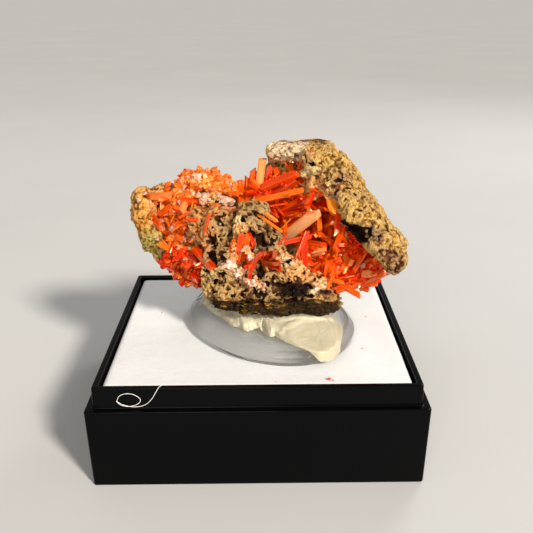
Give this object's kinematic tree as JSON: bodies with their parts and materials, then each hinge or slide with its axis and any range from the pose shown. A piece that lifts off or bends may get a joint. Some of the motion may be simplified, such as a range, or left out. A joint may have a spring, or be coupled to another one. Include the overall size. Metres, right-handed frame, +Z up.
{
  "type": "crocoite on matrix in a display box base",
  "caption": "Hollow ochre gossan fragment lined with orange-red crocoite prisms, on putty and a clear oval stand in a black square display box base.",
  "frame": {"origin": "middle of the underside of the display box", "axes": "+Z up, +X to the right and +Y to the back as the specimen is shown, box sides along X and Y"},
  "size_m": [0.057, 0.057, 0.0528],
  "materials": {
    "box_black": "polished moulded plastic with dust",
    "insert_white": "fine closed-cell foam",
    "oval_clear": "polished clear acrylic",
    "putty_cream": "soft satin putty",
    "gossan": "rough porous iron oxide, yellow ochre to black-brown",
    "crocoite": "adamantine, translucent orange-red"
  },
  "bodies": {
    "root": {"box_base": "box_black", "foam_insert": "insert_white", "clear_oval": "oval_clear", "mounting_putty": "putty_cream", "matrix_rock": "gossan", "crocoite_main_hollow": "crocoite", "crocoite_left_hollow": "crocoite", "crocoite_left_underside": "crocoite", "crocoite_front_pores": "crocoite"}
  },
  "joints": []
}
